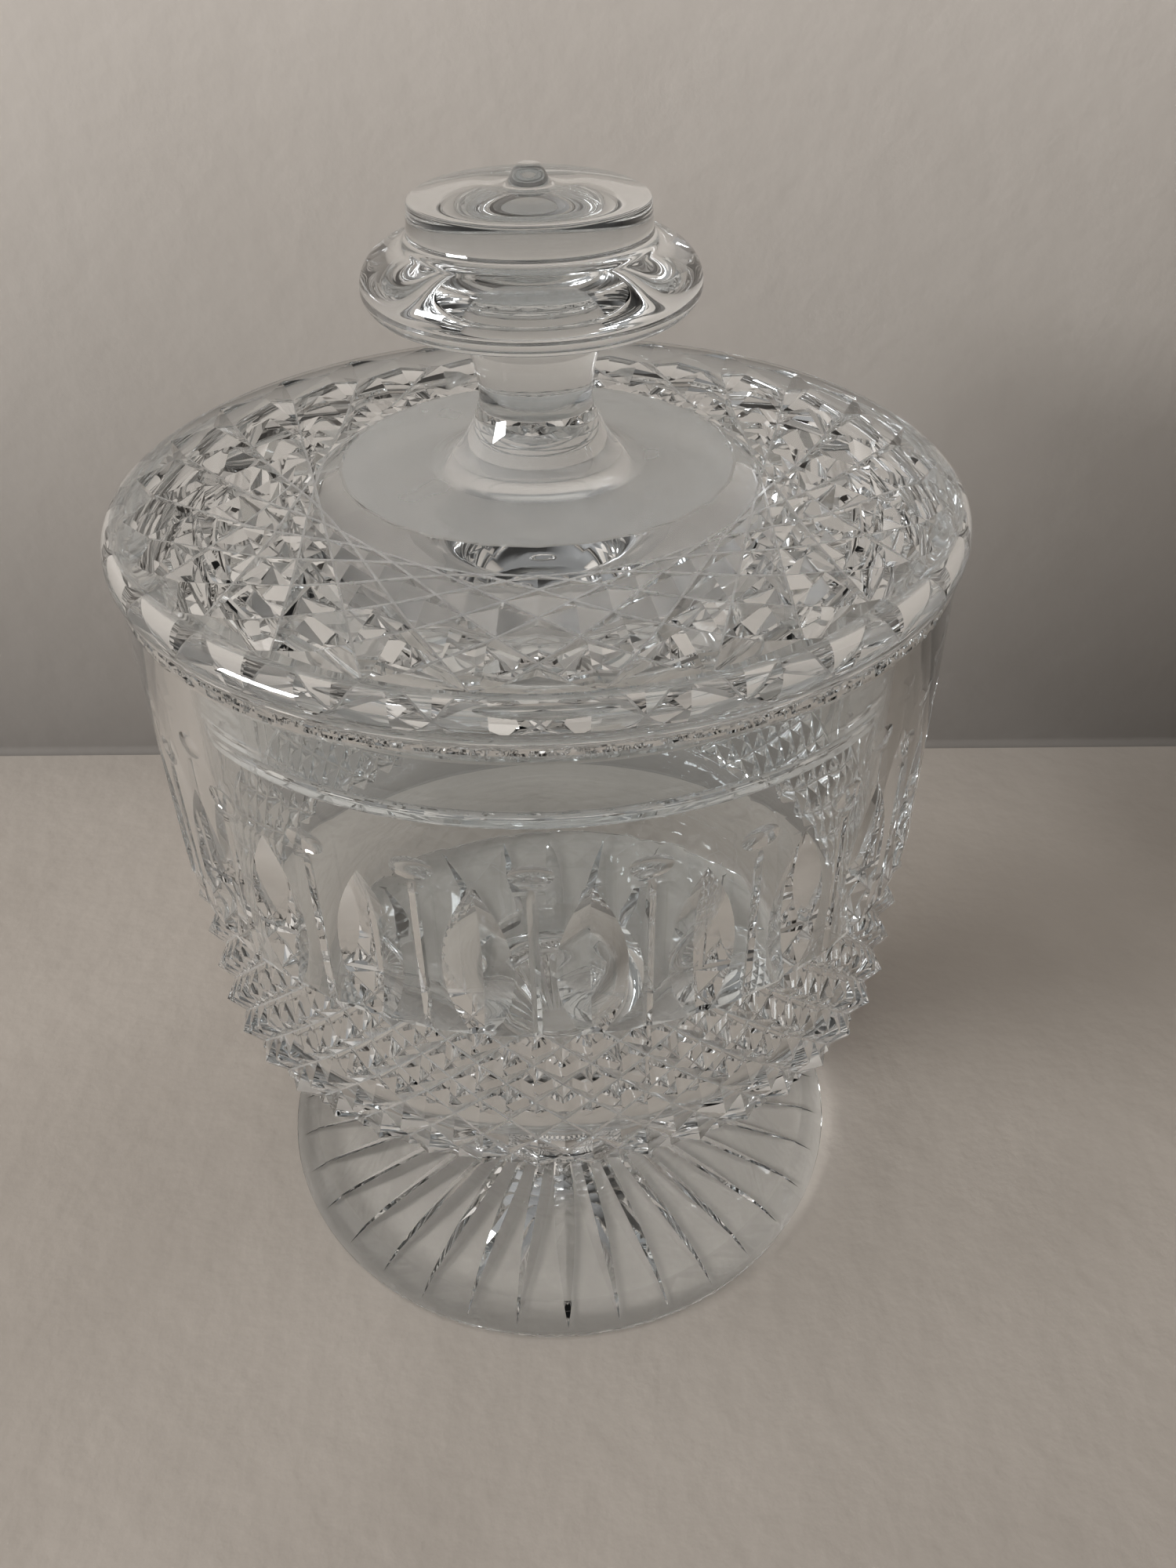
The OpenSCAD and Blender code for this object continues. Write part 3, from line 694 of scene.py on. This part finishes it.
def makeNeck():
    # below the waist the radius grows with two powers of the way down, one for the bell and a high one for
    # the soft foot on the disc; above the waist it grows with the square of the way up. The rows crowd at
    # the foot
    neck = SimpleNamespace(**neckSizes)
    bottom, top = nodeSpan("neck")
    z = bottom + (top - bottom) * np.linspace(0, 1, neck.rows + 1) ** neck.crowd
    waistZ = bottom + neck.waistUp
    down, up = np.clip((waistZ - z) / neck.waistUp, 0, 1), np.clip((z - waistZ) / (top - waistZ), 0, 1)
    r = neck.waist + neck.bell * down ** neck.bellBend + neck.foot * down ** neck.footBend
    r += (neck.top - neck.waist) * up ** 2
    angles = roundTable(neck.columns)
    shell = Shell()
    shell.skin(shell.put(turned([[0, bottom], [r[0], bottom]], angles)), joined)
    side = shell.put(turned(np.stack([r, z], axis=-1), angles))
    satinRows = np.count_nonzero(down > neck.satinBelow)  # the disc's satin finish fades out up the bell
    shell.skin(side[:satinRows + 1], ground)
    shell.skin(side[satinRows:])
    shell.skin(shell.put(turned([[neck.top, top], [0, top]], angles)), joined)
    return makePiece("crystalNeck", shell, "cover", "neck")


makeNeck()


knobSizes = dict(joint=9, ring=22.0, ringRound=6, ringHigh=5.2, ringLow=4.0, ringUp=7.8, drumFoot=15.5,
                 drumTop=15.3, drumUp=11.7, drumRound=9.0, drumRise=2.0, pip=2.4, pipBend=5, dipFrom=4.6,
                 dipDeep=0.3, hollow=2.0, under=-100, underBend=6.5, columns=364)


def makeKnob():
    # a ring of oval section under a low drum with a pip; the underside runs from the neck up into the ring
    knob = SimpleNamespace(**knobSizes)
    bottom, top = nodeSpan("knob")
    middle, ringZ = knob.ring - knob.ringRound, bottom + knob.ringUp
    shoulder, drumZ = knob.drumTop - knob.drumRound, ringZ + knob.drumUp
    under = np.radians(knob.under)
    end = np.array([middle + knob.ringRound * np.cos(under), ringZ + knob.ringLow * np.sin(under)])
    inwards = np.array([knob.ringRound * np.sin(under), -knob.ringLow * np.cos(under)])
    bend = end + knob.underBend * inwards / np.hypot(*inwards)
    t = np.linspace(0, 1, 13)[:, None]
    start = np.array([knob.joint, bottom])
    below = (1 - t) ** 2 * start + 2 * t * (1 - t) * bend + t ** 2 * end  # bends up, then out
    # a hollow rounding touches the ring from above and the drum's side from outside: its centre is its radius
    # away from the ring along the ring's normal
    side, fillet = knob.drumFoot, knob.hollow
    t = np.radians(np.linspace(120, 30, 181))
    normal = np.stack([knob.ringHigh * np.cos(t), knob.ringRound * np.sin(t)])
    normal /= np.hypot(*normal)
    reach = middle + knob.ringRound * np.cos(t) + fillet * normal[0]
    ringEnd = np.interp(side + fillet, reach, np.degrees(t))
    lean = np.interp(side + fillet, reach, np.degrees(np.arctan2(normal[1], normal[0])))
    hollowZ = np.interp(side + fillet, reach, ringZ + knob.ringHigh * np.sin(t) + fillet * normal[1])
    # the pip's height falls with the exponential of a power of the radius
    r = np.linspace(knob.dipFrom, 0, 25)
    dip = drumZ - knob.dipDeep
    pip = np.stack([r, dip + (top - dip) * np.exp(-(r / knob.pip) ** knob.pipBend)], axis=-1)
    profile = np.concatenate([
        below[:-1],
        arcPoints(middle, ringZ, knob.ringRound, knob.under, 0, 24, knob.ringLow),
        arcPoints(middle, ringZ, knob.ringRound, 0, ringEnd, 24, knob.ringHigh)[1:],
        arcPoints(side + fillet, hollowZ, fillet, 180 + lean, 180, 6)[1:],
        arcPoints(shoulder, drumZ - knob.drumRise, knob.drumRound, 0, 90, 20, knob.drumRise),
        pip])
    angles = roundTable(knob.columns)
    shell = Shell()
    shell.skin(shell.put(turned([[0, bottom], [knob.joint, bottom]], angles)), joined)
    shell.skin(shell.put(turned(steadied(profile), angles)))
    return makePiece("crystalKnob", shell, "cover", "knob")


makeKnob()
print("glass pieces made")


# the two wall-foot values paint shade on the wall's lowest 230 mm, darkest at the floor
studio = dict(wallBehind=122, wide=3.0, tall=1.6, under=0.4, cove=2, wallFoot=0.27, wallFootUp=230,
              tableFront=-240,
              floorPale=(0.40, 0.36, 0.32), floorSoft=(0.335, 0.30, 0.265), floorCloud=9, floorGrain=160,
              wallPale=(0.65, 0.60, 0.55), wallSoft=(0.60, 0.55, 0.50), wallCloud=7, wallGrain=110)
# the last three values paint shade on the floor and wall towards the window, which evens out the lamp's light
sheetLook = dict(rough=0.85, gloss=0.2, softAt=0.35, paleAt=0.62, cloudDetail=5, grainDetail=4,
                 grainStrength=0.25, grainHeight=0.001, beyondTone=0.08, beyondFade=0.03, windowTone=0.3,
                 windowFrom=-1.2, windowTo=-0.3)


def paleSurface(name, pale, soft, scale, grain, frontEdge, lowShadeTone=1.0, lowShadeUp=1.0):
    # a mottled pale surface with a fine grain, with painted shade at the foot of the wall and painted shade
    # near the window, which evens out the lamp's light there. Beyond the table's front edge the glass sees a
    # dark room, and from behind the sheet is open, so that the back of the box can be seen
    look = SimpleNamespace(**sheetLook)
    material = bpy.data.materials.new(name)
    material.use_nodes = True
    nodes, links = material.node_tree.nodes, material.node_tree.links
    surface = nodes["Principled BSDF"]
    surface.inputs["Roughness"].default_value = look.rough
    surface.inputs["Specular IOR Level"].default_value = look.gloss
    place = addNode(nodes, "ShaderNodeTexCoord")
    cloud = addNode(nodes, "ShaderNodeTexNoise", {"Scale": scale, "Detail": look.cloudDetail})
    tone = addNode(nodes, "ShaderNodeValToRGB")
    tone.color_ramp.elements[0].position = look.softAt
    tone.color_ramp.elements[0].color = (*soft, 1)
    tone.color_ramp.elements[1].position = look.paleAt
    tone.color_ramp.elements[1].color = (*pale, 1)
    fine = addNode(nodes, "ShaderNodeTexNoise", {"Scale": grain, "Detail": look.grainDetail})
    bump = addNode(nodes, "ShaderNodeBump", {"Strength": look.grainStrength, "Distance": look.grainHeight})
    links.new(place.outputs["Object"], cloud.inputs["Vector"])
    links.new(cloud.outputs["Fac"], tone.inputs["Fac"])
    links.new(place.outputs["Object"], fine.inputs["Vector"])
    links.new(fine.outputs["Fac"], bump.inputs["Height"])
    links.new(bump.outputs["Normal"], surface.inputs["Normal"])

    # the tone is scaled by painted shade that grows down the wall, by the table's edge and by painted shade
    # that grows towards the window and evens out the lamp's light there
    part = addNode(nodes, "ShaderNodeSeparateXYZ")
    # painted shade: the wall's tone falls towards its foot
    shade = addNode(nodes, "ShaderNodeMapRange", {"From Max": lowShadeUp, "To Min": lowShadeTone})
    edge = addNode(nodes, "ShaderNodeMapRange", {
        "From Min": frontEdge - look.beyondFade, "From Max": frontEdge, "To Min": look.beyondTone})
    # painted shade towards the window, which evens out the lamp's light on the far left
    window = addNode(nodes, "ShaderNodeMapRange", {
        "From Min": look.windowFrom, "From Max": look.windowTo, "To Min": look.windowTone})
    seen = addNode(nodes, "ShaderNodeLightPath")
    plain = addNode(nodes, "ShaderNodeMath", operation="MAXIMUM")
    both = addNode(nodes, "ShaderNodeMath", operation="MULTIPLY")
    overall = addNode(nodes, "ShaderNodeMath", operation="MULTIPLY")
    darken = addNode(nodes, "ShaderNodeVectorMath", operation="SCALE")
    links.new(place.outputs["Object"], part.inputs["Vector"])
    links.new(part.outputs["X"], window.inputs["Value"])
    links.new(part.outputs["Y"], edge.inputs["Value"])
    links.new(part.outputs["Z"], shade.inputs["Value"])
    links.new(edge.outputs["Result"], plain.inputs[0])
    links.new(seen.outputs["Is Camera Ray"], plain.inputs[1])
    links.new(plain.outputs["Value"], both.inputs[0])
    links.new(shade.outputs["Result"], both.inputs[1])
    links.new(both.outputs["Value"], overall.inputs[0])
    links.new(window.outputs["Result"], overall.inputs[1])
    links.new(tone.outputs["Color"], darken.inputs[0])
    links.new(overall.outputs["Value"], darken.inputs["Scale"])
    links.new(darken.outputs["Vector"], surface.inputs["Base Color"])

    side = addNode(nodes, "ShaderNodeNewGeometry")
    clear = addNode(nodes, "ShaderNodeBsdfTransparent")
    either = addNode(nodes, "ShaderNodeMixShader")
    links.new(side.outputs["Backfacing"], either.inputs["Fac"])
    links.new(surface.outputs["BSDF"], either.inputs[1])
    links.new(clear.outputs["BSDF"], either.inputs[2])
    links.new(either.outputs["Shader"], nodes["Material Output"].inputs["Surface"])
    return material


def addStage():
    # floor and wall in one sheet with a tight cove between them; the floor lies a hair under the foot, so
    # that the glass keeps air below it
    stage = SimpleNamespace(**studio)
    back, cove = stage.wallBehind * mm, stage.cove * mm
    t = np.radians(np.linspace(-90, 0, 9))
    y = np.concatenate([[-stage.wide / 2], back - cove + cove * np.cos(t), [back]])
    z = np.concatenate([[0], cove + cove * np.sin(t), [stage.tall]]) - stage.under * mm
    x = np.array([-stage.wide / 2, stage.wide / 2])
    grid = np.stack(np.broadcast_arrays(x[None, :], y[:, None], z[:, None]), axis=-1)
    index = np.arange(grid.shape[0] * 2).reshape(-1, 2)
    quads = np.stack([index[:-1, 0], index[:-1, 1], index[1:, 1], index[1:, 0]], axis=-1)
    mesh = bpy.data.meshes.new("studioSheet")
    # floor behind the wall, for the views from there
    behindY = np.array([back - cove, back - cove, stage.wide / 2, stage.wide / 2])
    behind = np.stack([x[[0, 1, 1, 0]], behindY, np.full(4, z[0])], axis=-1)
    quads = np.concatenate([quads, [np.arange(4) + index.size]])
    mesh.from_pydata([*grid.reshape(-1, 3).tolist(), *behind.tolist()], [], quads.tolist())
    onWall = np.arange(len(quads)) % (len(quads) - 1) > 0  # the first and the last quad are floor
    mesh.polygons.foreach_set("use_smooth", onWall)
    mesh.polygons.foreach_set("material_index", onWall.astype(np.int32))
    front = stage.tableFront * mm
    floor = paleSurface("paleFloor", stage.floorPale, stage.floorSoft, stage.floorCloud, stage.floorGrain,
                        front)
    wall = paleSurface("paleWall", stage.wallPale, stage.wallSoft, stage.wallCloud, stage.wallGrain, front,
                       stage.wallFoot, stage.wallFootUp * mm)
    mesh.materials.append(floor)
    mesh.materials.append(wall)
    sheet = bpy.data.objects.new("studioSheet", mesh)
    bpy.context.scene.collection.objects.link(sheet)


lamps = [  # name, place and aim in metres, size, watts
    dict(name="windowLeft", place=(-2.05, -0.80, 0.62), aim=(0, 0, 0.08), wide=0.85, tall=0.44, power=62),
    dict(name="ceiling", place=(-0.2, -0.25, 1.3), aim=(0, 0, 0.08), wide=0.9, tall=0.7, power=5,
         inGlass=False),
]


def addLamps():
    # soft rectangles of light, each turned towards its aim
    for lamp in lamps:
        data = bpy.data.lights.new(lamp["name"], "AREA")
        data.shape, data.size, data.size_y = "RECTANGLE", lamp["wide"], lamp["tall"]
        data.energy = lamp["power"]
        holder = bpy.data.objects.new(lamp["name"], data)
        holder.visible_glossy = holder.visible_transmission = lamp.get("inGlass", True)
        place = Vector(lamp["place"])
        holder.location = place
        holder.rotation_euler = (Vector(lamp["aim"]) - place).to_track_quat("-Z", "Y").to_euler()
        bpy.context.scene.collection.objects.link(holder)


room = dict(pale=(0.50, 0.495, 0.49), dark=(0.02, 0.019, 0.018), towards=(-1.0, 0.4, 0.07), darkAt=-0.4,
            above=(0.27, 0.265, 0.26), aboveFrom=38, aboveTo=52, seen=(0.36, 0.34, 0.32), strength=0.8)
mixFactor, mixFirst, mixSecond, mixResult = 0, 6, 7, 2  # sockets of a Mix node for colours


def addWorld():
    # the glass sees a room that is pale towards the window, dark in front and has a pale ceiling; all else
    # sees a plain pale room
    tones = SimpleNamespace(**room)
    world = bpy.data.worlds.new("paleRoom")
    bpy.context.scene.world = world
    world.use_nodes = True
    nodes, links = world.node_tree.nodes, world.node_tree.links
    back = nodes["Background"]
    back.inputs["Strength"].default_value = tones.strength
    place = addNode(nodes, "ShaderNodeTexCoord")
    towards = addNode(nodes, "ShaderNodeVectorMath", {1: tones.towards}, "DOT_PRODUCT")
    lift = addNode(nodes, "ShaderNodeMapRange", {"From Min": tones.darkAt})
    tone = addNode(nodes, "ShaderNodeValToRGB")
    tone.color_ramp.elements[0].color = (*tones.dark, 1)
    tone.color_ramp.elements[1].color = (*tones.pale, 1)
    links.new(place.outputs["Generated"], towards.inputs[0])
    links.new(towards.outputs["Value"], lift.inputs["Value"])
    links.new(lift.outputs["Result"], tone.inputs["Fac"])

    height = addNode(nodes, "ShaderNodeSeparateXYZ")
    above = addNode(nodes, "ShaderNodeMapRange", {
        "From Min": math.sin(math.radians(tones.aboveFrom)),
        "From Max": math.sin(math.radians(tones.aboveTo))})
    ceiling = addNode(nodes, "ShaderNodeMix")
    ceiling.data_type = "RGBA"
    ceiling.inputs[mixSecond].default_value = (*tones.above, 1)
    links.new(place.outputs["Generated"], height.inputs["Vector"])
    links.new(height.outputs["Z"], above.inputs["Value"])
    links.new(above.outputs["Result"], ceiling.inputs[mixFactor])
    links.new(tone.outputs["Color"], ceiling.inputs[mixFirst])

    seen = addNode(nodes, "ShaderNodeLightPath")
    either = addNode(nodes, "ShaderNodeMath", operation="MAXIMUM")
    pick = addNode(nodes, "ShaderNodeMix")
    pick.data_type = "RGBA"
    pick.inputs[mixSecond].default_value = (*tones.seen, 1)
    links.new(seen.outputs["Is Camera Ray"], either.inputs[0])
    links.new(seen.outputs["Is Diffuse Ray"], either.inputs[1])
    links.new(either.outputs["Value"], pick.inputs[mixFactor])
    links.new(ceiling.outputs[mixResult], pick.inputs[mixFirst])
    links.new(pick.outputs[mixResult], back.inputs["Color"])


addStage()
addLamps()
addWorld()
scene = bpy.context.scene
scene.view_settings.view_transform = "Standard"
scene.cycles.max_bounces = 24
scene.cycles.transmission_bounces = 24
scene.cycles.glossy_bounces = 12
scene.cycles.transparent_max_bounces = 24
print("stage lit")
